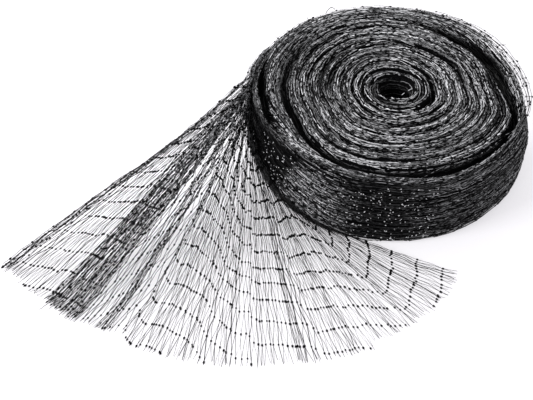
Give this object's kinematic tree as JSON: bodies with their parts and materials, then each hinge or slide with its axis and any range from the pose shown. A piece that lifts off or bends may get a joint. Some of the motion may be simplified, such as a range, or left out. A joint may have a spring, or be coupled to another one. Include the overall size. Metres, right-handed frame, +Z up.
{
  "type": "bird netting roll",
  "caption": "Coreless roll of black knotted-look mesh netting lying on its end, its loose end fanned out flat on the surface in front.",
  "frame": {"origin": "on the surface it rests on, under the middle of the box round roll and tail", "axes": "+Z up along the roll's axis, +X from the tail's tip towards the roll, -Y towards the fanned cut edge"},
  "size_m": [0.3574, 0.2922, 0.063],
  "materials": {
    "wound_net": "black extruded polypropylene net wound tight, satin strands over near-black gaps",
    "spread_net": "black extruded polypropylene net spread in one open layer, satin strands with small dense knots"
  },
  "bodies": {
    "root": {"net_roll": "wound_net", "net_tail": "spread_net"}
  },
  "joints": []
}
